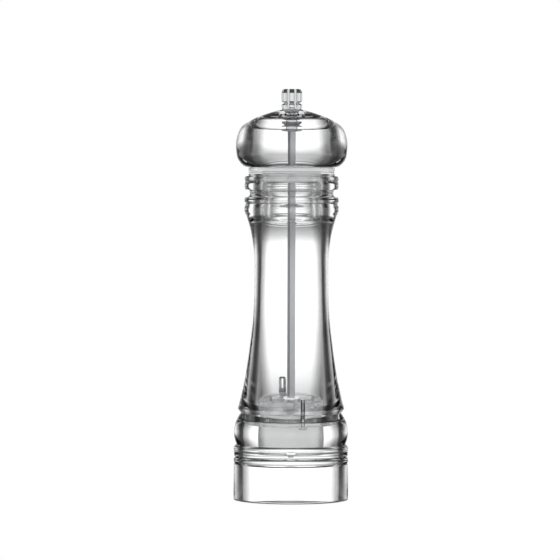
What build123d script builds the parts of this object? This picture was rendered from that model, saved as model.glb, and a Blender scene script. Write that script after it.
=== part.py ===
"""Pepper mill with a clear turned body, a lifting head and a conical burr mechanism.

The origin is the middle of the foot ring, on the surface that the mill stands on.
+Z runs up the spindle. All sizes are millimetres.
"""

from build123d import *
from math import radians, cos, sin, pi
import os

os.makedirs("parts", exist_ok=True)

# Body: heights of its turned sections, from the foot ring upwards
foot_height = 44.0
flare_height = 67.0
waist_height = 10.0
throat_height = 23.4
collar_height = 19.7
neck_height = 1.0

# Body: radii
base_radius = 29.0
skirt_wall = 4.65
shoulder_radius = 27.1
waist_radius = 18.75
collar_radius = 24.0
neck_radius = 22.0

# Body: hollows
skirt_depth = 40.0
chamber_foot_radius = 17.1
chamber_top_radius = 14.75
mouth_radius = 15.2
mouth_depth = 23.1

# Foot mouldings: heights from the foot up, then how far they stand in or out
skirt_top = 18.2
bead_top = 21.9
band_top = 24.9
torus_foot = 28.2
moulding_relief = 0.7
bead_relief = 0.15
rim_round = 0.25
edge_break = 0.4

# Head
crown_height = 29.2
crown_radius = 28.4
crown_seat_radius = 23.3
crown_cavity_radius = 20.9
crown_ceiling_radius = 11.5
crown_thickness = 7.1
cavity_wall_height = 9.0
cavity_shoulder_drop = 4.4
cavity_shoulder_inset = 2.5

# Plug that closes the head and turns in the mouth of the body
plug_clearance = 0.5
plug_end_clearance = 0.6
plug_wall = 1.6
plug_flange = 2.15
plug_lip_height = 2.6
plug_corner = 3.0
bearing_ring_height = 6.35
glide_ring_thickness = 0.75
turning_gap = 0.15

# Spindle
bar_side = 3.0
bar_turn = 27.0
thread_radius = 1.5
thread_overlap = 7.2
tail_length = 4.6
bar_shoulder_drop = 1.4
bar_clearance = 0.1
running_clearance = 0.2
shaft_hole_clearance = 0.6

# Finial fittings
sleeve_flange_radius = 5.1
sleeve_flange_height = 4.1
sleeve_tube_wall = 0.55
sleeve_drop = 5.4
drive_plate_radius = 5.2
drive_plate_thickness = 0.8
nut_thickness = 2.0
nut_taper = 1.3
nut_clearance = 0.05
washer_thickness = 0.5
finial_gap = 0.3

# Knob
knob_radius = 5.3
knob_height = 9.4
knob_foot_height = 1.4
knob_groove_height = 1.8
knob_groove_depth = 1.25
knob_crown_height = 2.0
knob_crown_inset = 0.5
knob_flutes = 8
flute_radius = 0.85
flute_depth = 1.3
knob_top_wall = 1.7
insert_wall = 1.2
thread_clearance = 0.05

# Mill housing
housing_fit = 0.4
housing_rise = 9.5
housing_drop = 14.5
housing_wall = 2.1
housing_flange = 2.4
housing_flange_inset = 0.75
housing_chamfer = 0.5
stator_seat_depth = 1.0
stator_seat_width = 1.2

# Bridge, bush and spring
bridge_thickness = 2.4
bridge_rebate = 3.0
bridge_ring_width = 1.8
bridge_hub_radius = 4.3
bridge_spoke_width = 2.8
bridge_spokes = 3
bridge_spoke_inset = 0.6
bush_wall = 0.9
bush_flange = 0.6
bush_flange_width = 0.7
spring_wire_radius = 0.35
spring_coil_radius = 3.65
spring_length = 5.9
spring_turns = 4
spring_end_gap = 0.05
seat_thickness = 1.0
seat_radius = 4.6
burr_gap = 0.3

# Burrs
burr_height = 11.3
burr_land = 2.0
rotor_top_radius = 7.0
rotor_radius = 12.9
rotor_teeth = 12
rotor_tooth_depth = 1.0
stator_top_radius = 11.4
stator_teeth = 20
stator_tooth_depth = 0.55
grind_gap = 0.4
tooth_lean = 0.3
tooth_run_out = 0.5
slip_fit = 0.1
retaining_ring_thickness = 1.0
retaining_ring_width = 1.5
retaining_groove = 0.8
retaining_ring_gap = 4.0

# Fasteners
screw_radius = 1.2
screw_head_radius = 2.4
screw_head_height = 1.4
screw_length = 14.0
screw_circle_radius = 20.5
screw_turn = -74.7
screw_count = 2
pilot_play = 0.05
pilot_run_out = 1.0
screw_slot_length = 2.4
screw_slot_width = 0.6
spindle_washer_radius = 4.2
spindle_nut_radius = 3.2
spindle_nut_height = 2.4

# Heights worked out from the sizes above
flare_top = foot_height + flare_height
waist_top = flare_top + waist_height
collar_bottom = waist_top + throat_height
collar_top = collar_bottom + collar_height
body_top = collar_top + neck_height
chamber_top = body_top - mouth_depth
ring_bottom = body_top + turning_gap
ring_top = ring_bottom + glide_ring_thickness
flange_bottom = ring_top + turning_gap
head_bottom = flange_bottom + plug_flange
head_top = head_bottom + crown_height
head_ceiling = head_top - crown_thickness
sleeve_top = head_top - running_clearance
sleeve_seat = sleeve_top - sleeve_flange_height
plate_top = head_ceiling - sleeve_drop
plate_bottom = plate_top - drive_plate_thickness
washer_bottom = sleeve_top + finial_gap
washer_top = washer_bottom + washer_thickness
knob_bottom = washer_top + finial_gap
knob_top = knob_bottom + knob_height
housing_top = skirt_depth + housing_rise
housing_bottom = skirt_depth - housing_drop
bridge_bottom = housing_top - bridge_rebate
bridge_top = bridge_bottom + bridge_thickness
seat_top = bridge_bottom - spring_length
seat_bottom = seat_top - seat_thickness
rotor_top = seat_bottom - burr_gap
rotor_bottom = rotor_top - burr_height
stator_top = skirt_depth - stator_seat_depth
ring_groove_bottom = housing_bottom + retaining_groove
stator_bottom = ring_groove_bottom + retaining_ring_thickness

# Radii worked out from the sizes above
skirt_radius = base_radius - skirt_wall
spigot_radius = mouth_radius - plug_clearance
spigot_bore = spigot_radius - plug_wall
bar_corner_radius = bar_side / 2**0.5
bar_hole_side = bar_side + bar_clearance
round_bore = bar_corner_radius + running_clearance
sleeve_tube_radius = round_bore + sleeve_tube_wall
housing_radius = chamber_foot_radius - housing_fit
stator_radius = housing_radius - housing_wall
throat_radius = stator_radius - stator_seat_width
stator_land_radius = rotor_radius + grind_gap
bush_radius = round_bore + bush_wall


def cone_planes(count, radius, height, top_radius, foot_radius, drop):
    """Planes spaced round the axis that face down the side of a cone, leaning a little sideways."""
    slope = Vector(foot_radius - top_radius, 0, -drop).normalized()
    planes = []
    for step in range(count):
        turn = 360 * step / count
        origin = Vector(radius, 0, height).rotate(Axis.Z, turn)
        heading = (slope + Vector(0, tooth_lean, 0)).rotate(Axis.Z, turn)
        planes.append(Plane(origin=origin, x_dir=(-sin(radians(turn)), cos(radians(turn)), 0), z_dir=heading))
    return planes


# Clear one-piece body
with BuildPart() as body_shell:
    with BuildSketch(Plane.XZ):
        with BuildLine():
            notch = base_radius - moulding_relief / 2
            groove = base_radius - moulding_relief
            torus_join = (base_radius - 1.8 * moulding_relief, torus_foot)
            torus_middle = torus_foot + 0.43 * (foot_height - torus_foot)
            waist_groove = (shoulder_radius - 1.6, foot_height)
            shoulder = (shoulder_radius, foot_height + 2.2)
            bead = base_radius + bead_relief
            Line((skirt_radius, 0), (base_radius, 0))
            Line((base_radius, 0), (base_radius, skirt_top))
            Line((base_radius, skirt_top), (notch, skirt_top + 0.5))
            ThreePointArc((notch, skirt_top + 0.5), (bead, bead_top - 1.8), (groove, bead_top))
            Line((groove, bead_top), (base_radius - 0.1, bead_top + 0.6))
            Line((base_radius - 0.1, bead_top + 0.6), (base_radius - 0.1, band_top))
            ThreePointArc((base_radius - 0.1, band_top), (bead, band_top + 1.3), torus_join)
            ThreePointArc(torus_join, (base_radius - 0.05, torus_middle), waist_groove)
            Line(waist_groove, shoulder)
            Spline(
                shoulder,
                (waist_radius + 4.3, foot_height + 0.33 * flare_height),
                (waist_radius + 1.25, foot_height + 0.63 * flare_height),
                (waist_radius, flare_top),
                tangents=((-0.35, 1), (0, 1)),
            )
            Line((waist_radius, flare_top), (waist_radius, waist_top))
            collar_foot = (collar_radius - 0.8, collar_bottom)
            Spline(
                (waist_radius, waist_top),
                (waist_radius + 2.1, waist_top + 0.62 * throat_height),
                collar_foot,
                tangents=((0, 1), (0.6, 1)),
            )
            lower_notch = (collar_radius - 0.7, collar_bottom + 5.5)
            middle_notch = (collar_radius - 0.4, collar_bottom + 8.8)
            cove_top = (collar_radius - 0.6, collar_bottom + 12.6)
            upper_notch = (collar_radius - 0.5, collar_bottom + 16.8)
            ring_top_edge = (collar_radius - 0.7, collar_top - 0.3)
            ThreePointArc(collar_foot, (collar_radius, collar_bottom + 3), lower_notch)
            ThreePointArc(lower_notch, (collar_radius, collar_bottom + 7.2), middle_notch)
            ThreePointArc(middle_notch, (collar_radius - 2.8, collar_bottom + 10.8), cove_top)
            ThreePointArc(cove_top, (collar_radius - 0.1, collar_bottom + 14.7), upper_notch)
            ThreePointArc(upper_notch, (collar_radius - 0.1, collar_bottom + 18.2), ring_top_edge)
            Line(ring_top_edge, (neck_radius, collar_top))
            Polyline(
                (neck_radius, collar_top),
                (neck_radius, body_top),
                (mouth_radius, body_top),
                (mouth_radius, chamber_top),
                (chamber_top_radius, chamber_top),
                (chamber_foot_radius, housing_top),
                (chamber_foot_radius, skirt_depth),
                (skirt_radius, skirt_depth),
                (skirt_radius, 0),
            )
        make_face()
    revolve(axis=Axis.Z)
    fillet(body_shell.edges().group_by(Axis.Z)[0], rim_round)
    with BuildSketch(Plane.XY.offset(skirt_depth)):
        with PolarLocations(screw_circle_radius, screw_count, start_angle=screw_turn):
            Circle(screw_radius + pilot_play)
    extrude(amount=screw_length - housing_flange + pilot_run_out, mode=Mode.SUBTRACT)
body_shell.part.label = "body_shell"
export_step(body_shell.part, "parts/body_shell.step")

# Clear turned head
with BuildPart() as head_shell:
    with BuildSketch(Plane.XZ):
        with BuildLine():
            seat_edge = (crown_seat_radius, head_bottom)
            crown_edge = (sleeve_flange_radius + slip_fit, head_top)
            widest = (crown_radius, head_bottom + 0.4 * crown_height)
            Spline(
                seat_edge,
                (crown_radius - 1.4, head_bottom + 2.7),
                widest,
                tangents=((1, 0.3), (0, 1)),
            )
            Spline(
                widest,
                (crown_radius - 2.6, head_bottom + 0.68 * crown_height),
                (crown_radius - 10.2, head_bottom + 0.855 * crown_height),
                crown_edge,
                tangents=((0, 1), (-1, 0.3)),
            )
            cavity_turn = head_bottom + cavity_wall_height
            cavity_step = head_ceiling - cavity_shoulder_drop
            Polyline(
                crown_edge,
                (sleeve_flange_radius + slip_fit, sleeve_seat),
                (sleeve_tube_radius + slip_fit, sleeve_seat),
                (sleeve_tube_radius + slip_fit, head_ceiling),
                (crown_ceiling_radius, head_ceiling),
            )
            ThreePointArc(
                (crown_ceiling_radius, head_ceiling),
                (crown_ceiling_radius + 4.9, head_ceiling - 1.3),
                (crown_cavity_radius - cavity_shoulder_inset, cavity_step),
            )
            Polyline(
                (crown_cavity_radius - cavity_shoulder_inset, cavity_step),
                (crown_cavity_radius, cavity_turn),
                (crown_cavity_radius, head_bottom),
                seat_edge,
            )
        make_face()
    revolve(axis=Axis.Z)
head_shell.part.label = "head_shell"
export_step(head_shell.part, "parts/head_shell.step")

# Clear cup under the head, with a spigot that turns in the mouth of the body
with BuildPart() as head_cup:
    spigot_bottom = chamber_top + plug_end_clearance
    cup_floor = spigot_bottom + plug_wall
    bearing_bottom = flange_bottom - bearing_ring_height
    with BuildSketch(Plane.XZ):
        with BuildLine():
            Polyline(
                (bar_corner_radius + shaft_hole_clearance, spigot_bottom),
                (spigot_radius, spigot_bottom),
                (spigot_radius, bearing_bottom),
                (spigot_bore, bearing_bottom),
                (spigot_bore, head_bottom),
                (spigot_bore - plug_wall, head_bottom),
                (spigot_bore - plug_wall, cup_floor),
                (bar_corner_radius + shaft_hole_clearance, cup_floor),
                close=True,
            )
        make_face()
    revolve(axis=Axis.Z)
    fillet(head_cup.edges().group_by(Axis.Z)[0].sort_by(SortBy.RADIUS)[-1], plug_corner)

# Wall of the cup
with BuildPart() as head_plug:
    add(head_cup.part)
    split(bisect_by=Plane.XY.offset(cup_floor), keep=Keep.TOP)
head_plug.part.label = "head_plug"
export_step(head_plug.part, "parts/head_plug.step")

# Floor of the cup, with the hole that the spindle passes through
with BuildPart() as plug_floor:
    add(head_cup.part)
    split(bisect_by=Plane.XY.offset(cup_floor), keep=Keep.BOTTOM)
plug_floor.part.label = "plug_floor"
export_step(plug_floor.part, "parts/plug_floor.step")

# Cloudy bearing collar round the cup, with the flange that the head sits on
with BuildPart() as head_collar:
    lip_radius = crown_cavity_radius - slip_fit
    with BuildSketch(Plane.XZ):
        with BuildLine():
            Polyline(
                (spigot_bore, bearing_bottom),
                (spigot_radius, bearing_bottom),
                (spigot_radius, flange_bottom),
                (neck_radius, flange_bottom),
                (neck_radius, head_bottom),
                (lip_radius, head_bottom),
                (lip_radius, head_bottom + plug_lip_height),
                (lip_radius - plug_wall, head_bottom + plug_lip_height),
                (lip_radius - plug_wall, head_bottom),
                (spigot_bore, head_bottom),
                close=True,
            )
        make_face()
    revolve(axis=Axis.Z)
head_collar.part.label = "head_collar"
export_step(head_collar.part, "parts/head_collar.step")

# Slippery ring between the body and the head
with BuildPart() as glide_ring:
    with BuildSketch(Plane.XY.offset(ring_bottom)):
        Circle(neck_radius - slip_fit)
        Circle(mouth_radius + running_clearance, mode=Mode.SUBTRACT)
    extrude(amount=glide_ring_thickness)
glide_ring.part.label = "glide_ring"
export_step(glide_ring.part, "parts/glide_ring.step")

# Metal sleeve let into the crown
with BuildPart() as head_sleeve:
    with BuildSketch(Plane.XY.offset(sleeve_seat)):
        Circle(sleeve_flange_radius)
        Circle(round_bore, mode=Mode.SUBTRACT)
    extrude(amount=sleeve_flange_height)
    with BuildSketch(Plane.XY.offset(plate_top)):
        Circle(sleeve_tube_radius)
        Circle(round_bore, mode=Mode.SUBTRACT)
    extrude(amount=sleeve_seat - plate_top)
    chamfer(head_sleeve.edges().group_by(Axis.Z)[-1].sort_by(SortBy.RADIUS)[-1], edge_break)
head_sleeve.part.label = "head_sleeve"
export_step(head_sleeve.part, "parts/head_sleeve.step")

# Tapered nut that clamps the sleeve under the crown
with BuildPart() as sleeve_nut:
    with BuildSketch(Plane.XZ):
        nut_bore = sleeve_tube_radius + nut_clearance
        with BuildLine():
            Polyline(
                (nut_bore, head_ceiling),
                (nut_bore, head_ceiling - nut_thickness),
                (sleeve_flange_radius - nut_taper, head_ceiling - nut_thickness),
                (sleeve_flange_radius, head_ceiling - edge_break),
                (sleeve_flange_radius, head_ceiling),
                close=True,
            )
        make_face()
    revolve(axis=Axis.Z)
sleeve_nut.part.label = "sleeve_nut"
export_step(sleeve_nut.part, "parts/sleeve_nut.step")

# Plate with a square hole that turns the spindle with the head
with BuildPart() as drive_plate:
    with BuildSketch(Plane.XY.offset(plate_bottom)):
        Circle(drive_plate_radius)
        Rectangle(bar_hole_side, bar_hole_side, rotation=bar_turn, mode=Mode.SUBTRACT)
    extrude(amount=drive_plate_thickness)
drive_plate.part.label = "drive_plate"
export_step(drive_plate.part, "parts/drive_plate.step")

# Washer that stays under the knob
with BuildPart() as knob_washer:
    with BuildSketch(Plane.XY.offset(washer_bottom)):
        Circle(sleeve_flange_radius - slip_fit)
        Circle(thread_radius + running_clearance, mode=Mode.SUBTRACT)
    extrude(amount=washer_thickness)
knob_washer.part.label = "knob_washer"
export_step(knob_washer.part, "parts/knob_washer.step")

# Threaded insert inside the knob
with BuildPart() as knob_insert:
    insert_radius = thread_radius + thread_clearance + insert_wall
    with BuildSketch(Plane.XY.offset(knob_bottom)):
        Circle(insert_radius)
        Circle(thread_radius + thread_clearance, mode=Mode.SUBTRACT)
    extrude(amount=knob_height - knob_top_wall - slip_fit)
knob_insert.part.label = "knob_insert"
export_step(knob_insert.part, "parts/knob_insert.step")

# Fluted finial knob that sets the grind
with BuildPart() as knob_shell:
    groove_middle = knob_bottom + knob_foot_height + knob_groove_height / 2
    with BuildSketch(Plane.XZ):
        with BuildLine():
            Polyline(
                (insert_radius + nut_clearance, knob_bottom),
                (knob_radius, knob_bottom),
                (knob_radius, knob_bottom + knob_foot_height),
                (knob_radius - knob_groove_depth, groove_middle),
                (knob_radius, groove_middle + knob_groove_height / 2),
                (knob_radius, knob_top - knob_crown_height),
                (knob_radius - knob_crown_inset, knob_top - edge_break),
                (knob_radius - knob_crown_inset - edge_break, knob_top),
                (0, knob_top),
                (0, knob_top - knob_top_wall),
                (insert_radius + nut_clearance, knob_top - knob_top_wall),
                close=True,
            )
        make_face()
    revolve(axis=Axis.Z)
    with BuildSketch(Plane.XY.offset(knob_bottom)):
        flute_circle = knob_radius + flute_radius - flute_depth
        with PolarLocations(flute_circle, knob_flutes, start_angle=180 / knob_flutes):
            Circle(flute_radius)
    extrude(amount=knob_height, mode=Mode.SUBTRACT)
knob_shell.part.label = "knob_shell"
export_step(knob_shell.part, "parts/knob_shell.step")

# Square spindle with a threaded round at each end
with BuildPart() as spindle:
    bar_top = head_ceiling - bar_shoulder_drop
    thread_top = knob_bottom + thread_overlap
    tail_bottom = rotor_bottom - tail_length
    with BuildSketch(Plane.XY.offset(rotor_bottom)):
        Rectangle(bar_side, bar_side, rotation=bar_turn)
    extrude(amount=bar_top - rotor_bottom)
    with BuildSketch(Plane.XY.offset(tail_bottom)):
        Circle(thread_radius)
    extrude(amount=thread_top - tail_bottom)
    chamfer(spindle.edges().filter_by(GeomType.CIRCLE).group_by(Axis.Z)[-1], edge_break)
    chamfer(spindle.edges().filter_by(GeomType.CIRCLE).group_by(Axis.Z)[0], edge_break)
spindle.part.label = "spindle"
export_step(spindle.part, "parts/spindle.step")

# Housing that carries the burrs, with a flange screwed under the body
with BuildPart() as mill_housing:
    flange_radius = skirt_radius - housing_flange_inset
    with BuildSketch(Plane.XZ):
        with BuildLine():
            Polyline(
                (stator_radius + slip_fit, housing_bottom),
                (housing_radius - housing_chamfer, housing_bottom),
                (housing_radius, housing_bottom + housing_chamfer),
                (housing_radius, skirt_depth - housing_flange),
                (flange_radius, skirt_depth - housing_flange),
                (flange_radius, skirt_depth),
                (housing_radius, skirt_depth),
                (housing_radius, housing_top),
                (stator_radius + 2 * slip_fit, housing_top),
                (stator_radius + 2 * slip_fit, bridge_bottom),
                (throat_radius, bridge_bottom),
                (throat_radius, stator_top),
                (stator_radius + slip_fit, stator_top),
                close=True,
            )
        make_face()
    revolve(axis=Axis.Z)
    with BuildSketch(Plane.XY.offset(ring_groove_bottom)):
        Circle(stator_radius + retaining_groove)
    extrude(amount=retaining_ring_thickness, mode=Mode.SUBTRACT)
    with BuildSketch(Plane.XY.offset(skirt_depth - housing_flange)):
        with PolarLocations(screw_circle_radius, screw_count, start_angle=screw_turn):
            Circle(screw_radius + slip_fit)
    extrude(amount=housing_flange, mode=Mode.SUBTRACT)
mill_housing.part.label = "mill_housing"
export_step(mill_housing.part, "parts/mill_housing.step")

# Fixed outer burr, toothed inside
with BuildPart() as stator_burr:
    stator_rise = stator_top - stator_bottom
    stator_cone = stator_rise - 2 * burr_land
    with BuildSketch(Plane.XZ):
        with BuildLine():
            Polyline(
                (stator_land_radius, stator_bottom),
                (stator_radius, stator_bottom),
                (stator_radius, stator_top),
                (stator_top_radius, stator_top),
                (stator_land_radius, stator_top - stator_cone),
                close=True,
            )
        make_face()
    revolve(axis=Axis.Z)
    tooth_planes = cone_planes(
        stator_teeth,
        stator_top_radius,
        stator_top + tooth_run_out,
        stator_top_radius,
        stator_land_radius,
        stator_cone,
    )
    with BuildSketch(*tooth_planes):
        RegularPolygon(radius=stator_tooth_depth, side_count=4)
    extrude(amount=stator_cone + 2 * tooth_run_out, mode=Mode.SUBTRACT)
stator_burr.part.label = "stator_burr"
export_step(stator_burr.part, "parts/stator_burr.step")

# Spring ring that holds the outer burr in the housing
with BuildPart() as burr_retaining_ring:
    ring_outer = stator_radius + retaining_groove - slip_fit
    with BuildSketch(Plane.XY.offset(ring_groove_bottom)):
        Circle(ring_outer)
        Circle(ring_outer - retaining_ring_width, mode=Mode.SUBTRACT)
        with Locations((0, -ring_outer)):
            Rectangle(retaining_ring_gap, retaining_ring_gap, mode=Mode.SUBTRACT)
    extrude(amount=retaining_ring_thickness)
burr_retaining_ring.part.label = "burr_retaining_ring"
export_step(burr_retaining_ring.part, "parts/burr_retaining_ring.step")

# Turning inner burr, toothed outside
with BuildPart() as rotor_burr:
    rotor_cone = burr_height - burr_land
    with BuildSketch(Plane.XZ):
        with BuildLine():
            Polyline(
                (0, rotor_bottom),
                (rotor_radius, rotor_bottom),
                (rotor_radius, rotor_bottom + burr_land),
                (rotor_top_radius, rotor_top),
                (0, rotor_top),
                close=True,
            )
        make_face()
    revolve(axis=Axis.Z)
    tooth_planes = cone_planes(
        rotor_teeth, rotor_top_radius, rotor_top + tooth_run_out, rotor_top_radius, rotor_radius, rotor_cone
    )
    with BuildSketch(*tooth_planes):
        RegularPolygon(radius=rotor_tooth_depth, side_count=4)
    extrude(amount=rotor_cone + 3 * tooth_run_out, mode=Mode.SUBTRACT)
    with BuildSketch(Plane.XY.offset(rotor_bottom)):
        Rectangle(bar_hole_side, bar_hole_side, rotation=bar_turn)
    extrude(amount=burr_height, mode=Mode.SUBTRACT)
rotor_burr.part.label = "rotor_burr"
export_step(rotor_burr.part, "parts/rotor_burr.step")

# Washer and nut that hold the inner burr on the spindle
with BuildPart() as spindle_washer:
    washer_hole = thread_radius + thread_clearance
    with BuildSketch(Plane.XY.offset(rotor_bottom - washer_thickness)):
        Circle(spindle_washer_radius)
        Circle(washer_hole, mode=Mode.SUBTRACT)
    extrude(amount=washer_thickness)
spindle_washer.part.label = "spindle_washer"
export_step(spindle_washer.part, "parts/spindle_washer.step")

with BuildPart() as spindle_nut:
    with BuildSketch(Plane.XY.offset(rotor_bottom - washer_thickness - spindle_nut_height)):
        RegularPolygon(radius=spindle_nut_radius, side_count=6)
        Circle(washer_hole, mode=Mode.SUBTRACT)
    extrude(amount=spindle_nut_height)
spindle_nut.part.label = "spindle_nut"
export_step(spindle_nut.part, "parts/spindle_nut.step")

# Spoked bridge that steadies the spindle and lets the corns fall through
with BuildPart() as bridge:
    bridge_radius = stator_radius + slip_fit
    spoke_middle = (bridge_hub_radius + bridge_radius) / 2 - bridge_spoke_inset
    with BuildSketch(Plane.XY.offset(bridge_bottom)):
        Circle(bridge_radius)
        Circle(bridge_radius - bridge_ring_width, mode=Mode.SUBTRACT)
        Circle(bridge_hub_radius)
        with PolarLocations(spoke_middle, bridge_spokes, start_angle=bar_turn):
            Rectangle(bridge_radius - bridge_hub_radius, bridge_spoke_width)
        Circle(bush_radius + nut_clearance, mode=Mode.SUBTRACT)
    extrude(amount=bridge_thickness)
bridge.part.label = "bridge"
export_step(bridge.part, "parts/bridge.step")

# Flanged bush in the hub of the bridge
with BuildPart() as bridge_bush:
    with BuildSketch(Plane.XY.offset(bridge_bottom)):
        Circle(bush_radius)
    extrude(amount=bridge_thickness)
    with BuildSketch(Plane.XY.offset(bridge_top)):
        Circle(bush_radius + bush_flange_width)
    extrude(amount=bush_flange)
    with BuildSketch(Plane.XY.offset(bridge_bottom)):
        Circle(round_bore)
    extrude(amount=bridge_thickness + bush_flange, mode=Mode.SUBTRACT)
bridge_bush.part.label = "bridge_bush"
export_step(bridge_bush.part, "parts/bridge_bush.step")

# Seat between the spring and the inner burr
with BuildPart() as spring_seat:
    with BuildSketch(Plane.XY.offset(seat_bottom)):
        Circle(seat_radius)
        Circle(round_bore, mode=Mode.SUBTRACT)
    extrude(amount=seat_thickness)
spring_seat.part.label = "spring_seat"
export_step(spring_seat.part, "parts/spring_seat.step")

# Spring that pushes the inner burr down, away from the outer one
with BuildPart() as spring:
    coil_height = spring_length - 2 * (spring_wire_radius + spring_end_gap)
    coil_pitch = coil_height / spring_turns
    coil_start = Vector(spring_coil_radius, 0, seat_top + spring_wire_radius + spring_end_gap)
    with BuildLine():
        Helix(pitch=coil_pitch, height=coil_height, radius=spring_coil_radius, center=(0, 0, coil_start.Z))
    climb = coil_pitch / (2 * pi * spring_coil_radius)
    with BuildSketch(Plane(origin=coil_start, x_dir=(1, 0, 0), z_dir=(0, 1, climb))):
        Circle(spring_wire_radius)
    sweep(is_frenet=True)
spring.part.label = "spring"
export_step(spring.part, "parts/spring.step")

# Screws that hold the housing under the body
with BuildPart() as housing_screws:
    with BuildSketch(Plane.XY.offset(skirt_depth - housing_flange)):
        with PolarLocations(screw_circle_radius, screw_count, start_angle=screw_turn):
            Circle(screw_radius)
    extrude(amount=screw_length)
    with BuildSketch(Plane.XY.offset(skirt_depth - housing_flange - screw_head_height)):
        with PolarLocations(screw_circle_radius, screw_count, start_angle=screw_turn):
            Circle(screw_head_radius)
    extrude(amount=screw_head_height)
    with BuildSketch(Plane.XY.offset(skirt_depth - housing_flange - screw_head_height)):
        with PolarLocations(screw_circle_radius, screw_count, start_angle=screw_turn):
            Rectangle(screw_slot_length, screw_slot_width)
            Rectangle(screw_slot_width, screw_slot_length)
    extrude(amount=screw_head_height / 2, mode=Mode.SUBTRACT)
housing_screws.part.label = "housing_screws"
export_step(housing_screws.part, "parts/housing_screws.step")
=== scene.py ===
"""Looks for a clear turned pepper mill: shells, fittings, mechanism, finishes, floor, light and camera."""

import math

import bmesh
import bpy
from bpy.props import FloatProperty, FloatVectorProperty, IntProperty, PointerProperty
from mathutils import Matrix, Vector


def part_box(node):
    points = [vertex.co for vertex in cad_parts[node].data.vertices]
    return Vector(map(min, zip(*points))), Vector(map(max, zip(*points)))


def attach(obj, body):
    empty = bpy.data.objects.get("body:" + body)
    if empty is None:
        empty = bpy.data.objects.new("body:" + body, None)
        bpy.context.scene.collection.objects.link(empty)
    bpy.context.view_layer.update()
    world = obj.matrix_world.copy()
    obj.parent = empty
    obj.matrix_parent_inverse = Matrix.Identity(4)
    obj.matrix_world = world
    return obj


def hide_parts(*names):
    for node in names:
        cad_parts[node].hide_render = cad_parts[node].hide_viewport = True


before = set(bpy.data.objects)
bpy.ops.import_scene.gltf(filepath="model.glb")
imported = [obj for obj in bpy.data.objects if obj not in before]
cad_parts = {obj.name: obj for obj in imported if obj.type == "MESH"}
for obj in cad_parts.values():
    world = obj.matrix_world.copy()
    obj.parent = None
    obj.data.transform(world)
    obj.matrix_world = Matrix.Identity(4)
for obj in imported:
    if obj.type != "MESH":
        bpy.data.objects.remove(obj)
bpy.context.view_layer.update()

bl_info = {
    "name": "Clear Pepper Mill",
    "version": (1, 0, 0),
    "blender": (4, 5, 0),
    "location": "3D View > Sidebar > Pepper Mill",
    "description": "Builds the shells, fittings, finishes and stage of a clear table pepper mill",
    "category": "Object",
}

MM = 0.001

CAMERA_RAY, DIFFUSE_DEPTH = 0, 10
ACRYLIC_IOR = 1.49
BODY_CEILING = 40.0 * MM
BODY_MOUTH_STEP = 142.0 * MM
HOUSING_BORE = 14.75 * MM
SKIRT_WALL = 4.65 * MM
MOUTH_RADIUS = 15.2 * MM
PLASTIC_WALL = 1.6 * MM
ROD_SEAT_RADIUS = 2.95 * MM
SLEEVE_FLANGE_DEPTH = 4.1 * MM
SCREW_HEAD_RADIUS = 2.4 * MM
SCREW_HEAD_HEIGHT = 1.4 * MM
SCREW_HEAD_MIDDLE = 0.75 * MM
THREAD_PITCH = 0.9 * MM
THREAD_STEPS = 20
STEPS_PER_FLUTE = 40
FLOOR_GAP = 0.1 * MM
LIGHT_BOUNCES = 32

body_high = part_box("body_shell")[1]
head_low, head_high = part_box("head_shell")
plug_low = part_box("plug_floor")[0]
plug_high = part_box("head_plug")[1]
collar_low, collar_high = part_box("head_collar")
ring_low, ring_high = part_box("glide_ring")
sleeve_low, sleeve_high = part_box("head_sleeve")
sleeve_nut_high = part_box("sleeve_nut")[1]
knob_low, knob_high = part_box("knob_shell")
washer_low, washer_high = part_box("knob_washer")
housing_low, housing_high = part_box("mill_housing")
screw_low, screw_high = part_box("housing_screws")


# ---------------------------------------------------------------- sizes and colours that a user would change


class ClearPartSettings(bpy.types.PropertyGroup):
    """Finish and fineness of the clear turned parts."""

    turn_steps: IntProperty(name="Turn Steps", description="Facets round a turned part", default=192, min=48)
    tint: FloatVectorProperty(name="Tint", description="Colour of the clear acrylic", subtype="COLOR",
                              size=3, default=(0.996, 0.999, 0.999), min=0, max=1)
    ior: FloatProperty(name="IOR", description="Refractive index of acrylic", default=ACRYLIC_IOR,
                       min=1.3, max=1.7)
    edge_round: FloatProperty(name="Edge Round", description="Radius on the polished edges", unit="LENGTH",
                              default=0.35 * MM)
    air_gap: FloatProperty(name="Air Gap", description="Gap kept between two clear faces", unit="LENGTH",
                           default=0.08 * MM)


class FittingSettings(bpy.types.PropertyGroup):
    """Finish of the moulded plastic and the metal fittings."""

    frost: FloatVectorProperty(name="Frosted Plastic", description="Colour of the frosted housing",
                               subtype="COLOR", size=3, default=(0.96, 0.965, 0.97), min=0, max=1)
    chrome: FloatVectorProperty(name="Chrome", description="Colour of the knob's plating", subtype="COLOR",
                                size=3, default=(0.62, 0.63, 0.64), min=0, max=1)
    flutes: IntProperty(name="Flutes", description="Flutes round the knob", default=8, min=3)
    flute_radius: FloatProperty(name="Flute Radius", description="Radius of one flute", unit="LENGTH",
                                default=0.85 * MM)
    flute_depth: FloatProperty(name="Flute Depth", description="Depth of one flute", unit="LENGTH",
                               default=1.3 * MM)


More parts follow.
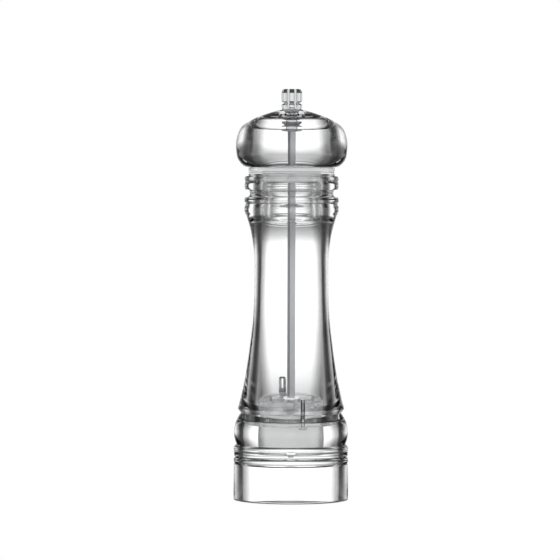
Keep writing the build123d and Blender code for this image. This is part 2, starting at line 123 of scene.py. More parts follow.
class StageSettings(bpy.types.PropertyGroup):
    """Floor, light and camera."""

    floor_radius: FloatProperty(name="Floor Radius", description="Radius of the pale floor", unit="LENGTH",
                                default=3.0)
    backdrop: FloatProperty(name="Backdrop", description="Brightness of the white panels round the mill",
                            default=1.25)
    fill: FloatProperty(name="Fill", description="Brightness of the light that matt surfaces gather",
                        default=2.4)
    camera_distance: FloatProperty(name="Camera Distance", description="Camera to spindle", unit="LENGTH",
                                   default=1.8)
    camera_height: FloatProperty(name="Camera Height", description="Camera above the floor", unit="LENGTH",
                                 default=0.168)
    camera_side: FloatProperty(name="Camera Side", unit="LENGTH", default=-0.0059,
                               description="Camera right of the spindle, or left if negative")
    camera_roll: FloatProperty(name="Camera Roll", description="Tilt of the frame", subtype="ANGLE",
                               default=-0.0027)
    aim_height: FloatProperty(name="Aim Height", description="Height at the middle of the frame",
                              unit="LENGTH", default=0.11125)
    lens: FloatProperty(name="Lens", description="Focal length", unit="CAMERA", default=228.6)


# ---------------------------------------------------------------- outlines and turning


class Outline:
    """Half outline of a turned piece, drawn point by point as (radius, height)."""

    def __init__(self, radius, height, corner=0.0):
        self.points = [(Vector((radius, height)), corner)]

    def line(self, radius, height, corner=0.0):
        """Straight to a point, whose corner may be rounded."""
        self.points.append((Vector((radius, height)), corner))
        return self

    def arc(self, middle, end, steps=12):
        """Circular arc through a middle point."""
        start, middle, end = self.points[-1][0], Vector(middle), Vector(end)
        centre, radius = circle_through(start, middle, end)
        first = math.atan2(*reversed(start - centre))
        sweep = wrap(math.atan2(*reversed(end - centre)) - first)
        part = wrap(math.atan2(*reversed(middle - centre)) - first)
        if sweep * part < 0 or abs(part) > abs(sweep):
            sweep -= math.copysign(2 * math.pi, sweep)
        for step in range(1, steps + 1):
            angle = first + sweep * step / steps
            self.points.append((centre + radius * Vector((math.cos(angle), math.sin(angle))), 0.0))
        return self

    def curve(self, end, leaving, arriving, steps=16):
        """Smooth curve to a point, with its direction and pull at both ends."""
        start, end = self.points[-1][0], Vector(end)
        leaving, arriving = Vector(leaving), Vector(arriving)
        for step in range(1, steps + 1):
            t = step / steps
            point = (
                (2 * t**3 - 3 * t**2 + 1) * start
                + (t**3 - 2 * t**2 + t) * leaving
                + (3 * t**2 - 2 * t**3) * end
                + (t**3 - t**2) * arriving
            )
            self.points.append((point, 0.0))
        return self

    def rounded(self, steps=4):
        """The points, with each marked corner turned into a small arc."""
        result = []
        count = len(self.points)
        for index, (point, corner) in enumerate(self.points):
            if corner <= 0:
                result.append(point)
                continue
            before = self.points[index - 1][0] - point
            after = self.points[(index + 1) % count][0] - point
            half = before.angle(after) / 2
            reach = min(corner / math.tan(half), 0.45 * before.length, 0.45 * after.length)
            start, end = point + before.normalized() * reach, point + after.normalized() * reach
            for step in range(steps + 1):
                t = step / steps
                result.append((1 - t) ** 2 * start + 2 * t * (1 - t) * point + t**2 * end)
        return result


def wrap(angle):
    """An angle between minus and plus a half turn."""
    return (angle + math.pi) % (2 * math.pi) - math.pi


def circle_through(a, b, c):
    """Centre and radius of the circle through three points."""
    ab, ac = b - a, c - a
    double = 2 * (ab.x * ac.y - ab.y * ac.x)
    centre = a + Vector((
        (ac.y * ab.length_squared - ab.y * ac.length_squared) / double,
        (ab.x * ac.length_squared - ac.x * ab.length_squared) / double,
    ))
    return centre, (a - centre).length


def turned(outline, steps):
    """A bmesh made by spinning an outline round the spindle axis."""
    bm = bmesh.new()
    verts = [bm.verts.new((p.x, 0, p.y)) for p in outline.rounded()]
    edges = [bm.edges.new(pair) for pair in (*zip(verts, verts[1:]), (verts[-1], verts[0]))]
    bmesh.ops.spin(bm, geom=verts + edges, cent=(0, 0, 0), axis=(0, 0, 1), dvec=(0, 0, 0),
                   angle=2 * math.pi, steps=steps, use_merge=True, use_duplicate=False)
    bmesh.ops.remove_doubles(bm, verts=bm.verts, dist=1e-7)
    bmesh.ops.recalc_face_normals(bm, faces=bm.faces)
    return bm


def piece(name, bm, material, body, replaced=(), crease=35):
    """An object from a bmesh, smooth but for its creases, riding on a body."""
    limit = math.radians(crease)
    for face in bm.faces:
        face.smooth = True
    for edge in bm.edges:
        edge.smooth = edge.calc_face_angle(0) < limit
    mesh = bpy.data.meshes.new(name)
    bm.to_mesh(mesh)
    bm.free()
    mesh.materials.append(material)
    obj = bpy.data.objects.new(name, mesh)
    bpy.context.scene.collection.objects.link(obj)
    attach(obj, body)
    if replaced:
        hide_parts(*replaced)
    return obj


# ---------------------------------------------------------------- materials


class Value:
    """A shader socket that Python's operators turn into Math nodes."""

    def __init__(self, shader, socket):
        self.shader, self.socket = shader, socket

    def _math(self, operation, *others):
        return self.shader.node("ShaderNodeMath", {"operation": operation}, [self, *others])[0]

    def __add__(self, other):
        return self._math("ADD", other)

    def __radd__(self, other):
        return self.shader.node("ShaderNodeMath", {"operation": "ADD"}, [other, self])[0]

    def __sub__(self, other):
        return self._math("SUBTRACT", other)

    def __rsub__(self, other):
        return self.shader.node("ShaderNodeMath", {"operation": "SUBTRACT"}, [other, self])[0]

    def __mul__(self, other):
        return self._math("MULTIPLY", other)

    def __rmul__(self, other):
        return self.shader.node("ShaderNodeMath", {"operation": "MULTIPLY"}, [other, self])[0]

    def __truediv__(self, other):
        return self._math("DIVIDE", other)

    def __pow__(self, other):
        return self._math("POWER", other)

    def larger(self, other):
        return self._math("MAXIMUM", other)

    def smaller(self, other):
        return self._math("MINIMUM", other)

    def size(self):
        return self._math("ABSOLUTE")


class Shader:
    """One node tree, filled by a single method."""

    def __init__(self, tree):
        self.tree = tree
        tree.nodes.clear()

    def node(self, kind, settings=None, inputs=None):
        """Adds a node, sets it up, fills or links its sockets and returns its outputs."""
        made = self.tree.nodes.new(kind)
        for key, value in (settings or {}).items():
            if key == "stops":
                self._stops(made.color_ramp, value)
            else:
                setattr(made, key, value)
        pairs = inputs.items() if isinstance(inputs, dict) else enumerate(inputs or [])
        for key, value in pairs:
            if isinstance(value, Value):
                self.tree.links.new(value.socket, made.inputs[key])
            else:
                made.inputs[key].default_value = value
        return [Value(self, socket) for socket in made.outputs]

    def _stops(self, ramp, stops):
        while len(ramp.elements) < len(stops):
            ramp.elements.new(0.5)
        for element, (position, grey) in zip(ramp.elements, stops):
            element.position = position
            element.color = (grey, grey, grey, 1)

    def coordinates(self):
        """Object coordinates, in metres."""
        return self.node("ShaderNodeTexCoord")[3]

    def noise(self, scale, detail=3.0, stretch=(1, 1, 1)):
        """Soft noise between 0 and 1."""
        place = self.node("ShaderNodeMapping", None, {"Vector": self.coordinates(), "Scale": stretch})[0]
        return self.node("ShaderNodeTexNoise", None, {"Vector": place, "Scale": scale, "Detail": detail})[0]

    def mixed(self, factor, first, second):
        """A blend of two colours."""
        inputs = {0: factor, 6: (*first, 1), 7: (*second, 1)}
        return self.node("ShaderNodeMix", {"data_type": "RGBA"}, inputs)[2]

    def bumped(self, height, strength, distance):
        """A surface normal from a height."""
        inputs = {"Height": height, "Strength": strength, "Distance": distance}
        return self.node("ShaderNodeBump", None, inputs)[0]

    def surface(self, **sockets):
        """A Principled surface wired to the output."""
        named = {key.replace("_", " "): value for key, value in sockets.items()}
        shader = self.node("ShaderNodeBsdfPrincipled", None, named)[0]
        self.node("ShaderNodeOutputMaterial", None, {"Surface": shader})


def new_material(name):
    """An empty material and the shader that fills it."""
    material = bpy.data.materials.new(name)
    material.use_nodes = True
    return material, Shader(material.node_tree)


def shade(colour, factor):
    """A colour made darker or lighter."""
    return tuple(min(1.0, channel * factor) for channel in colour)


def clear_acrylic(settings):
    """Polished acrylic, with faint turning waves and a matt underside where the foot stands."""
    material, s = new_material("clear_acrylic")
    height = s.node("ShaderNodeSeparateXYZ", None, [s.coordinates()])[2]
    foot = (1 - height / (0.2 * MM)).larger(0.0) * (s.noise(900.0) * 0.4 + 0.8)
    waves = s.noise(60.0, 2.0, (1, 1, 3))
    s.surface(
        Base_Color=s.mixed(s.noise(25.0), settings.tint, shade(settings.tint, 0.985)),
        Roughness=s.noise(40.0) * 0.006 + foot * 0.5,
        IOR=settings.ior,
        Transmission_Weight=1.0,
        Normal=s.bumped(waves, 0.08, 0.2 * MM),
    )
    return material


def cloudy_plastic():
    """Moulded collar plastic, a little cloudy."""
    material, s = new_material("cloudy_plastic")
    cloud = s.noise(120.0, 4.0)
    s.surface(
        Base_Color=s.mixed(cloud, (0.78, 0.785, 0.79), (0.70, 0.705, 0.71)),
        Roughness=cloud * 0.12 + 0.14,
        IOR=ACRYLIC_IOR,
        Transmission_Weight=0.65,
        Normal=s.bumped(s.noise(300.0), 0.1, 0.1 * MM),
    )
    return material


def frosted_plastic(name, colour):
    """Frosted plastic of the mill housing, with moulding flow and fine grain."""
    material, s = new_material(name)
    flow = s.noise(90.0, 4.0, (1, 1, 0.4))
    s.surface(
        Base_Color=s.mixed(flow, colour, shade(colour, 0.92)),
        Roughness=flow * 0.12 + 0.14,
        IOR=ACRYLIC_IOR,
        Transmission_Weight=0.92,
        Normal=s.bumped(s.noise(2500.0), 0.15, 0.05 * MM),
    )
    return material


def moulded(name, colour, roughness):
    """Opaque moulded or fired material with fine grain."""
    material, s = new_material(name)
    grain = s.noise(700.0, 5.0)
    s.surface(
        Base_Color=s.mixed(grain, colour, shade(colour, 0.88)),
        Roughness=grain * 0.2 + roughness,
        Normal=s.bumped(grain, 0.2, 0.05 * MM),
    )
    return material


def metal(name, colour, roughness, drawn=(1, 1, 1), wear=0.1):
    """Metal with fine marks along its working direction."""
    material, s = new_material(name)
    marks = s.noise(1400.0, 4.0, drawn)
    tarnish = s.noise(80.0, 3.0)
    s.surface(
        Base_Color=s.mixed(tarnish, colour, shade(colour, 1 - wear)),
        Metallic=1.0,
        Roughness=marks * 0.5 * roughness + 0.75 * roughness,
        Normal=s.bumped(marks, 0.12, 0.02 * MM),
    )
    return material


def finish_cad(node, material):
    """Puts a finish on a carried-over CAD node."""
    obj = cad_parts[node]
    obj.data.materials.clear()
    obj.data.materials.append(material)


# ---------------------------------------------------------------- clear parts


class MILL_OT_body(bpy.types.Operator):
    """Turns the clear one-piece body, with its foot mouldings, waist, collar rings and hollows"""

    bl_idname = "mill.body"
    bl_label = "Body"

    def execute(self, context):
        clear = context.scene.mill_clear
        edge = clear.edge_round
        base = body_high.x - 0.16 * MM
        top = body_high.z
        collar = 24.0 * MM
        neck = collar_high.x
        skirt = base - SKIRT_WALL
        ceiling = BODY_CEILING
        mouth = MOUTH_RADIUS
        outline = Outline(skirt, 0, 2 * edge)
        outline.line(base, 0, edge / 3)
        outline.line(base, 18.2 * MM).line(base - 0.4 * MM, 18.7 * MM)
        outline.arc((base + 0.13 * MM, 20.1 * MM), (base - 0.75 * MM, 21.9 * MM))
        outline.line(base - 0.1 * MM, 22.5 * MM, edge).line(base - 0.1 * MM, 24.9 * MM)
        outline.arc((base + 0.13 * MM, 26.2 * MM), (base - 1.3 * MM, 28.2 * MM))
        outline.arc((base - 0.05 * MM, 35.0 * MM), (25.5 * MM, 44.0 * MM), 20)
        outline.line(27.1 * MM, 46.2 * MM, edge)
        outline.curve((20.0 * MM, 86.0 * MM), (-11.6 * MM, 40 * MM), (-5.0 * MM, 40 * MM), 14)
        outline.curve((18.75 * MM, 113.0 * MM), (-3.4 * MM, 27 * MM), (0, 27 * MM), 8)
        outline.line(18.75 * MM, 119.0 * MM)
        outline.curve((23.2 * MM, 144.4 * MM), (0, 28 * MM), (8 * MM, 22 * MM), 14)
        outline.arc((collar, 147.4 * MM), (23.3 * MM, 149.9 * MM))
        outline.arc((collar, 151.6 * MM), (23.6 * MM, 153.2 * MM), 8)
        outline.arc((21.2 * MM, 155.2 * MM), (23.4 * MM, 157.0 * MM), 14)
        outline.arc((23.9 * MM, 159.1 * MM), (23.5 * MM, 161.2 * MM), 8)
        outline.arc((23.9 * MM, 162.6 * MM), (23.3 * MM, 163.8 * MM), 8)
        outline.line(neck, 164.1 * MM, edge)
        outline.line(neck, top - clear.air_gap, edge).line(mouth, top - clear.air_gap, edge)
        outline.line(mouth, BODY_MOUTH_STEP, edge).line(HOUSING_BORE, BODY_MOUTH_STEP, edge)
        outline.line(17.1 * MM, housing_high.z).line(17.1 * MM, ceiling, edge)
        outline.line(skirt, ceiling, 3 * edge)
        bm = turned(outline, clear.turn_steps)
        rear = screw_places()[1]
        drill_void(bm, rear, 2.3 * MM, ceiling + 0.3 * MM, 58.0 * MM)
        piece("clear_body", bm, clear_acrylic(clear), "mill_body", ["body_shell"])
        return {"FINISHED"}


def screw_places():
    """Middle of each housing screw, seen from above."""
    centre_x = (screw_high.x - screw_low.x) / 2 - SCREW_HEAD_RADIUS
    centre_y = (screw_high.y - screw_low.y) / 2 - SCREW_HEAD_RADIUS
    return [Vector((centre_x, -centre_y, 0)), Vector((-centre_x, centre_y, 0))]


def drill_void(bm, place, radius, bottom, top):
    """Adds the air space of a round-ended hole inside solid acrylic."""
    depth = top - bottom
    centre = Matrix.Translation(place + Vector((0, 0, (top + bottom) / 2)))
    made = bmesh.ops.create_cone(bm, cap_ends=True, segments=24, radius1=radius, radius2=radius, depth=depth,
                                 matrix=centre)
    faces = {face for vert in made["verts"] for face in vert.link_faces}
    rims = [edge for face in faces for edge in face.edges if len(face.verts) > 4]
    bmesh.ops.bevel(bm, geom=list(set(rims)), affect="EDGES", offset=0.6 * radius, segments=4, profile=0.5,
                    material=-1)
    near = {face for face in bm.faces if all(
        (vert.co.xy - place.xy).length <= radius + 0.01 * MM and bottom - MM < vert.co.z < top + MM
        for vert in face.verts)}
    bmesh.ops.reverse_faces(bm, faces=list(near))


class MILL_OT_head(bpy.types.Operator):
    """Turns the clear round head with its hollow and the seat for the sleeve"""

    bl_idname = "mill.head"
    bl_label = "Head"

    def execute(self, context):
        clear = context.scene.mill_clear
        edge = clear.edge_round
        bottom = head_low.z + clear.air_gap
        top = head_high.z
        ceiling = sleeve_nut_high.z + clear.air_gap
        bore = sleeve_high.x + 0.1 * MM
        neck = ROD_SEAT_RADIUS
        cavity = 20.9 * MM
        outline = Outline(23.3 * MM, bottom, edge)
        outline.curve((27.9 * MM, bottom + 5.9 * MM), (7 * MM, 2.5 * MM), (1.2 * MM, 7 * MM), 12)
        outline.curve((28.35 * MM, bottom + 11.6 * MM), (0.9 * MM, 5.5 * MM), (0, 5 * MM), 8)
        outline.curve((25.8 * MM, bottom + 20.0 * MM), (0, 6 * MM), (-6.0 * MM, 8 * MM), 10)
        outline.curve((18.2 * MM, bottom + 25.0 * MM), (-4.5 * MM, 6 * MM), (-8.0 * MM, 3.9 * MM), 10)
        outline.curve((bore, top), (-9 * MM, 3.9 * MM), (-8 * MM, 1.2 * MM), 12)
        seat = sleeve_high.z - SLEEVE_FLANGE_DEPTH
        outline.line(bore, seat).line(neck, seat)
        outline.line(neck, ceiling, edge).line(11.5 * MM, ceiling)
        outline.arc((16.2 * MM, ceiling - 1.4 * MM), (18.2 * MM, ceiling - 4.2 * MM), 12)
        outline.line(18.9 * MM, ceiling - 4.9 * MM, edge)
        outline.curve((cavity, bottom + 7.0 * MM), (1.6 * MM, -5 * MM), (0, -6 * MM), 10)
        outline.line(cavity, bottom, edge)
        bm = turned(outline, clear.turn_steps)
        piece("clear_head", bm, clear_acrylic(clear), "head", ["head_shell"])
        return {"FINISHED"}


class MILL_OT_plug(bpy.types.Operator):
    """Turns the clear cup under the head, its cloudy collar and the ring that it glides on"""

    bl_idname = "mill.plug"
    bl_label = "Plug And Ring"

    def execute(self, context):
        clear = context.scene.mill_clear
        edge = clear.edge_round
        gap = clear.air_gap
        clear_floor = plug_low.z + PLASTIC_WALL
        bore = 2.72 * MM
        spigot = plug_high.x
        cup = 13.1 * MM - gap
        inside = 11.5 * MM
        outline = Outline(bore, plug_low.z, edge)
        outline.line(spigot, plug_low.z, 3.0 * MM).line(spigot, collar_low.z - gap, edge)
        outline.line(cup, collar_low.z - gap, edge).line(cup, plug_high.z, edge)
        outline.line(inside, plug_high.z, edge).line(inside, clear_floor, 1.2 * MM)
        outline.line(bore, clear_floor, edge)
        bm = turned(outline, clear.turn_steps)
        piece("cup_plug", bm, clear_acrylic(clear), "head", ["head_plug", "plug_floor"])
        plastic = cloudy_plastic()
        flange = collar_high.x - 0.1 * MM
        flange_low = ring_high.z + 0.15 * MM
        flange_high = head_low.z - gap
        lip = 20.75 * MM
        wall = PLASTIC_WALL
        outline = Outline(cup + gap, collar_low.z, edge)
        outline.line(spigot, collar_low.z, edge).line(spigot, flange_low, edge)
        outline.line(flange, flange_low, edge).line(flange, flange_high, edge)
        outline.line(lip, flange_high).line(lip, collar_high.z, edge)
        outline.line(lip - wall, collar_high.z, edge).line(lip - wall, flange_high, edge)
        outline.line(cup + gap, flange_high, edge)
        bm = turned(outline, clear.turn_steps)
        piece("bearing_collar", bm, plastic, "head", ["head_collar"])
        ring = Outline(ring_high.x - 0.1 * MM, ring_low.z, edge)
        ring.line(ring_high.x - 0.1 * MM, ring_high.z, edge).line(15.4 * MM, ring_high.z, edge)
        ring.line(15.4 * MM, ring_low.z, edge)
        bm = turned(ring, clear.turn_steps)
        piece("slip_ring", bm, plastic, "glide_ring", ["glide_ring"])
        return {"FINISHED"}


# ---------------------------------------------------------------- mechanism and fittings


class MILL_OT_housing(bpy.types.Operator):
    """Turns the frosted housing of the burrs"""

    bl_idname = "mill.housing"
    bl_label = "Housing"

    def execute(self, context):
        clear = context.scene.mill_clear
        edge = clear.edge_round
        outer = 16.7 * MM
        bore = HOUSING_BORE
        throat = 13.4 * MM
        burr_top = 39.0 * MM + clear.air_gap
        shelf = 46.5 * MM - clear.air_gap
        flange = housing_high.x - 0.1 * MM
        underside = 37.6 * MM
        ceiling = BODY_CEILING - clear.air_gap
        outline = Outline(bore, housing_low.z, edge)
        outline.line(outer, housing_low.z, 2 * edge).line(outer, underside, 2 * edge)
        outline.line(flange, underside, edge).line(flange, ceiling, edge).line(outer, ceiling, edge)
        outline.line(outer, housing_high.z, 2 * edge).line(bore, housing_high.z, edge)
        outline.line(bore, shelf, edge).line(throat, shelf, edge)
        outline.line(throat, burr_top, edge).line(bore, burr_top, edge)
        bm = turned(outline, clear.turn_steps)
        frost = frosted_plastic("housing_plastic", context.scene.mill_fittings.frost)
        piece("burr_housing", bm, frost, "mill_body", ["mill_housing"])
        finish_cad("bridge", frost)
        return {"FINISHED"}


class MILL_OT_knob(bpy.types.Operator):
    """Turns the chrome finial knob and cuts its flutes"""

    bl_idname = "mill.knob"
    bl_label = "Knob"

    def execute(self, context):
        fittings = context.scene.mill_fittings
        radius = knob_high.x
        bottom, top = knob_low.z, knob_high.z
        groove = bottom + 2.3 * MM
        round_edge = 0.18 * MM
        outline = Outline(ROD_SEAT_RADIUS, bottom)
        outline.line(radius, bottom, round_edge).line(radius, groove - 0.9 * MM, round_edge)
        outline.line(radius - 1.25 * MM, groove, round_edge).line(radius, groove + 0.9 * MM, round_edge)
        outline.line(radius, top - 2.0 * MM, round_edge).line(radius - 0.55 * MM, top - 0.35 * MM, round_edge)
        outline.line(radius - 1.1 * MM, top, round_edge).line(0, top)
        outline.line(0, top - 1.7 * MM).line(ROD_SEAT_RADIUS, top - 1.7 * MM)
        bm = turned(outline, fittings.flutes * STEPS_PER_FLUTE)
        self.flute(bm, radius, fittings)
        chrome = metal("chrome", fittings.chrome, 0.035, wear=0.03)
        piece("finial_knob", bm, chrome, "knob", ["knob_shell"], crease=32)
        return {"FINISHED"}

    def flute(self, bm, radius, fittings):
        """Draws in the rim wherever a round cutter would pass."""
        away = radius + fittings.flute_radius - fittings.flute_depth
        step = 2 * math.pi / fittings.flutes
        for vert in bm.verts:
            turn = math.atan2(vert.co.y, vert.co.x)
            offset = turn % step - step / 2
            inside = fittings.flute_radius**2 - (away * math.sin(offset)) ** 2
            if inside <= 0:
                continue
            limit = away * math.cos(offset) - math.sqrt(inside)
            reach = vert.co.xy.length
            if reach > limit:
                vert.co.xy *= limit / reach


class MILL_OT_fittings(bpy.types.Operator):
    """Turns the sleeve, its nut, the washer and the housing screws"""

    bl_idname = "mill.fittings"
    bl_label = "Fittings"

    def execute(self, context):
        steps = context.scene.mill_clear.turn_steps // 2
        bore = 2.32 * MM
        tube = 2.85 * MM
        flange = sleeve_high.x - 0.05 * MM
        seat = sleeve_high.z - SLEEVE_FLANGE_DEPTH
        steel = metal("bright_steel", (0.72, 0.73, 0.74), 0.14, (1, 1, 12))
        dark = metal("dark_steel", (0.16, 0.16, 0.17), 0.25)
        outline = Outline(bore, sleeve_low.z)
        outline.line(tube, sleeve_low.z).line(tube, seat + 0.05 * MM)
        outline.line(flange, seat + 0.05 * MM, 0.2 * MM)
        for turn in range(1, 6):
            height = seat + turn * 0.6 * MM
            outline.line(flange, height).line(flange - 0.3 * MM, height + 0.15 * MM)
            outline.line(flange, height + 0.3 * MM)
        outline.line(flange, sleeve_high.z, 0.3 * MM).line(bore, sleeve_high.z, 0.2 * MM)
        piece("crown_sleeve", turned(outline, steps), steel, "head", ["head_sleeve"])
        high = sleeve_nut_high.z
        nut = Outline(2.9 * MM, high)
        nut.line(2.9 * MM, high - 2.0 * MM).line(3.8 * MM, high - 2.0 * MM, 0.15 * MM)
        nut.line(5.1 * MM, high - 0.4 * MM, 0.15 * MM).line(5.1 * MM, high)
        piece("taper_nut", turned(nut, steps), dark, "head", ["sleeve_nut"])
        washer = Outline(1.7 * MM, washer_low.z)
        washer.line(washer_high.x, washer_low.z, 0.1 * MM).line(washer_high.x, washer_high.z, 0.1 * MM)
        washer.line(1.7 * MM, washer_high.z)
        piece("thin_washer", turned(washer, steps), steel, "knob_washer", ["knob_washer"])
        finish_cad("drive_plate", dark)
        finish_cad("spindle_washer", steel)
        finish_cad("spindle_nut", steel)
        finish_cad("burr_retaining_ring", steel)
        self.screws(steel)
        return {"FINISHED"}

    def screws(self, steel):
        """Both housing screws, with a spun thread and a domed head."""
        bm = bmesh.new()
        for place in screw_places():
            middle = (screw_low.z + SCREW_HEAD_HEIGHT + screw_high.z) / 2
            centre = Matrix.Translation(place + Vector((0, 0, middle)))
            bmesh.ops.create_cone(bm, cap_ends=True, segments=24, radius1=1.0 * MM, radius2=0.95 * MM,
                                  depth=screw_high.z - screw_low.z - SCREW_HEAD_HEIGHT, matrix=centre)
            self.thread(bm, place)
            self.head(bm, place)
        bmesh.ops.recalc_face_normals(bm, faces=bm.faces)
        piece("flange_screws", bm, steel, "mill_body", ["housing_screws"])

    def thread(self, bm, place):
        """A triangular ridge wound up the shank."""
        start = screw_low.z + 4.6 * MM
        turns = int((screw_high.z - start - THREAD_PITCH) / THREAD_PITCH)
        corners = ((0.9, -0.36), (1.22, 0.0), (0.9, 0.36))
        verts = [bm.verts.new(place + Vector((r * MM, 0, start + z * MM))) for r, z in corners]
        edges = [bm.edges.new((verts[i], verts[(i + 1) % 3])) for i in range(3)]
        cap = bm.faces.new(verts)
        bmesh.ops.spin(bm, geom=[*verts, *edges, cap], cent=place, axis=(0, 0, 1),
                       dvec=(0, 0, THREAD_PITCH / THREAD_STEPS), angle=2 * math.pi * turns,
                       steps=THREAD_STEPS * turns, use_merge=False, use_duplicate=False)

    def head(self, bm, place):
        """A domed head below the flange."""
        centre = Matrix.Translation(place + Vector((0, 0, screw_low.z + SCREW_HEAD_MIDDLE)))
        made = bmesh.ops.create_cone(bm, cap_ends=True, segments=32, radius1=2.3 * MM, radius2=2.3 * MM,
                                     depth=1.3 * MM, matrix=centre)
        low = [vert for vert in made["verts"] if vert.co.z < screw_low.z + SCREW_HEAD_MIDDLE]
        rim = [edge for edge in {e for v in low for e in v.link_edges}
               if all(v.co.z < screw_low.z + SCREW_HEAD_MIDDLE for v in edge.verts)]
        bmesh.ops.bevel(bm, geom=rim, affect="EDGES", offset=0.8 * MM, segments=4, profile=0.5, material=-1)


class MILL_OT_mechanism(bpy.types.Operator):
    """Gives the spindle, burrs, spring and bushes their finishes"""

    bl_idname = "mill.mechanism"
    bl_label = "Mechanism Finishes"

    def execute(self, context):
        ceramic = moulded("ceramic", (0.93, 0.925, 0.91), 0.3)
        nylon = moulded("nylon", (0.88, 0.88, 0.86), 0.4)
        finish_cad("spindle", metal("aluminium_bar", (0.66, 0.67, 0.69), 0.42, (1, 1, 0.05)))
        finish_cad("stator_burr", ceramic)
        finish_cad("rotor_burr", ceramic)
        finish_cad("bridge_bush", nylon)
        finish_cad("spring_seat", nylon)
        finish_cad("spring", metal("spring_steel", (0.5, 0.5, 0.52), 0.2))
        finish_cad("knob_insert", metal("brass", (0.8, 0.62, 0.3), 0.2))
        return {"FINISHED"}


# ---------------------------------------------------------------- floor, light and camera


PANEL_STOPS = [
    (0.0, 0.015), (0.78, 0.02), (0.86, 0.12), (0.905, 0.33), (0.94, 0.5), (0.966, 0.78), (0.98, 1.0),
]
FRONT_STOPS = [(0.0, 0.85), (0.25, 0.8), (0.42, 0.6), (0.52, 0.0), (1.0, 0.0)]
RISE_STOPS = [(0.0, 1.0), (0.55, 1.0), (0.585, 0.55), (0.63, 0.2), (0.72, 0.08), (1.0, 0.08)]
# Painted reflection on the floor's glow: half as bright seen steeply, full at glancing angles, standing in
# for the backdrop reflecting off a glossy floor.
PAINTED_GLOSS_STOPS = [(0.0, 0.5), (0.66, 0.5), (0.8, 1.0), (1.0, 1.0)]


def bright_field(s, direction, brightness):
    """White panels on four sides of the mill, with flags between them that are darkest at the back."""
    x, y, z = s.node("ShaderNodeSeparateXYZ", None, [direction])
    flat = (x * x + y * y + 0.0001) ** 0.5
    facing = x.size().larger(y.size()) / flat
    panel = s.node("ShaderNodeValToRGB", {"stops": PANEL_STOPS}, [facing])[0]
    front = s.node("ShaderNodeValToRGB", {"stops": FRONT_STOPS}, [y / flat * 0.5 + 0.5])[0]
    rise = s.node("ShaderNodeValToRGB", {"stops": RISE_STOPS}, [z * 0.5 + 0.5])[0]
    return panel.larger(front) * rise * brightness


def studio_colour(s, field, fill):
    """Plain white to the camera, the panels to clear and shiny surfaces, and the fill to matt ones."""
    outputs = s.node("ShaderNodeLightPath")
    field = field.larger(outputs[DIFFUSE_DEPTH].smaller(1.0) * fill)
    factors = {0: outputs[CAMERA_RAY], 6: field, 7: (1, 1, 1, 1)}
    return s.node("ShaderNodeMix", {"data_type": "RGBA"}, factors)[2]


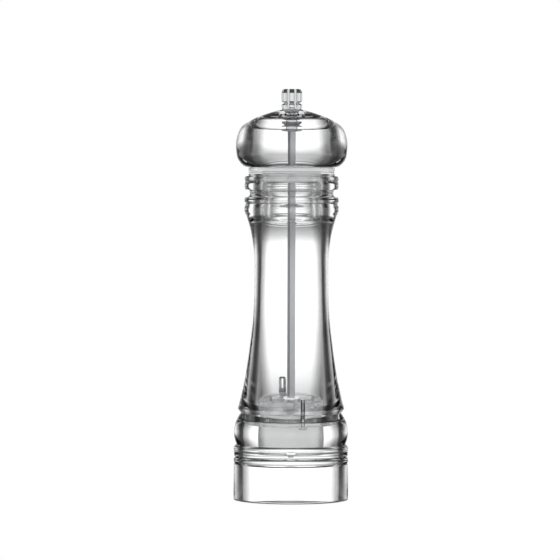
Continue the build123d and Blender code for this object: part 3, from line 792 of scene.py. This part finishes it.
class MILL_OT_stage(bpy.types.Operator):
    """Makes the pale floor, the studio light and the camera"""

    bl_idname = "mill.stage"
    bl_label = "Stage"

    def execute(self, context):
        stage = context.scene.mill_stage
        self.world(context, stage)
        self.floor(context, stage)
        self.camera(context, stage)
        context.scene.view_settings.view_transform = "Standard"
        context.scene.cycles.max_bounces = LIGHT_BOUNCES
        context.scene.cycles.transmission_bounces = LIGHT_BOUNCES
        return {"FINISHED"}

    def world(self, context, stage):
        """White behind the mill, and panels and flags round it that only its surfaces see."""
        world = bpy.data.worlds.new("studio")
        world.use_nodes = True
        context.scene.world = world
        s = Shader(world.node_tree)
        direction = s.node("ShaderNodeTexCoord")[0]
        field = bright_field(s, direction, stage.backdrop)
        colour = studio_colour(s, field, stage.fill)
        light = s.node("ShaderNodeBackground", None, {"Color": colour})[0]
        s.node("ShaderNodeOutputWorld", None, {"Surface": light})

    def floor(self, context, stage):
        """A round pale floor that glows like a light table: plain white to the camera, while the mill's
        surfaces see the studio's panels and dark flags painted into its glow, with a painted reflection that
        is brighter at glancing angles.
        """
        bm = bmesh.new()
        below = Matrix.Translation((0, 0, -FLOOR_GAP))
        bmesh.ops.create_circle(bm, cap_ends=True, segments=96, radius=stage.floor_radius, matrix=below)
        mesh = bpy.data.meshes.new("floor")
        bm.to_mesh(mesh)
        bm.free()
        floor = bpy.data.objects.new("floor", mesh)
        context.scene.collection.objects.link(floor)
        material, s = new_material("pale_floor")
        # Painted reflection: the floor's glow is halved when seen steeply and full when seen at a glancing
        # angle.
        glancing = s.node("ShaderNodeLayerWeight")[1]
        painted_gloss = s.node("ShaderNodeValToRGB", {"stops": PAINTED_GLOSS_STOPS}, [glancing])[0]
        # Painted light and shade: the studio's white panels and dark flags are painted into the floor's glow
        # by position round the mill, times the painted reflection term.
        field = bright_field(s, s.coordinates(), stage.backdrop) * painted_gloss
        colour = studio_colour(s, field, stage.fill)
        glow = s.node("ShaderNodeEmission", None, {"Color": colour})[0]
        s.node("ShaderNodeOutputMaterial", None, {"Surface": glow})
        mesh.materials.append(material)

    def camera(self, context, stage):
        """A long lens, a little above the middle of the mill."""
        data = bpy.data.cameras.new("camera")
        data.lens = stage.lens
        data.sensor_width = 36.0
        data.clip_start, data.clip_end = 0.05, 50.0
        camera = bpy.data.objects.new("camera", data)
        context.scene.collection.objects.link(camera)
        drop = math.atan2(stage.camera_height - stage.aim_height, stage.camera_distance)
        camera.location = (stage.camera_side, -stage.camera_distance, stage.camera_height)
        camera.rotation_euler = (math.pi / 2 - drop, stage.camera_roll, 0)
        context.scene.camera = camera


# ---------------------------------------------------------------- panel, registration and run


class MILL_PT_panel(bpy.types.Panel):
    """Sizes, colours and operators of the pepper mill"""

    bl_idname = "MILL_PT_panel"
    bl_label = "Pepper Mill"
    bl_space_type = "VIEW_3D"
    bl_region_type = "UI"
    bl_category = "Pepper Mill"

    def draw(self, context):
        for group in (context.scene.mill_clear, context.scene.mill_fittings, context.scene.mill_stage):
            column = self.layout.column()
            for name in group.bl_rna.properties.keys():
                if name not in ("rna_type", "name"):
                    column.prop(group, name)
        for operator in OPERATORS:
            self.layout.operator(operator.bl_idname)


SETTINGS = {"mill_clear": ClearPartSettings, "mill_fittings": FittingSettings, "mill_stage": StageSettings}
OPERATORS = (
    MILL_OT_stage,
    MILL_OT_body,
    MILL_OT_head,
    MILL_OT_plug,
    MILL_OT_housing,
    MILL_OT_knob,
    MILL_OT_fittings,
    MILL_OT_mechanism,
)


def register():
    for cls in (*SETTINGS.values(), *OPERATORS, MILL_PT_panel):
        bpy.utils.register_class(cls)
    for name, group in SETTINGS.items():
        setattr(bpy.types.Scene, name, PointerProperty(type=group))


def unregister():
    for name in SETTINGS:
        delattr(bpy.types.Scene, name)
    for cls in reversed((*SETTINGS.values(), *OPERATORS, MILL_PT_panel)):
        bpy.utils.unregister_class(cls)


def main():
    register()
    for operator in OPERATORS:
        group, name = operator.bl_idname.split(".")
        getattr(getattr(bpy.ops, group), name)()


if __name__ == "__main__":
    main()
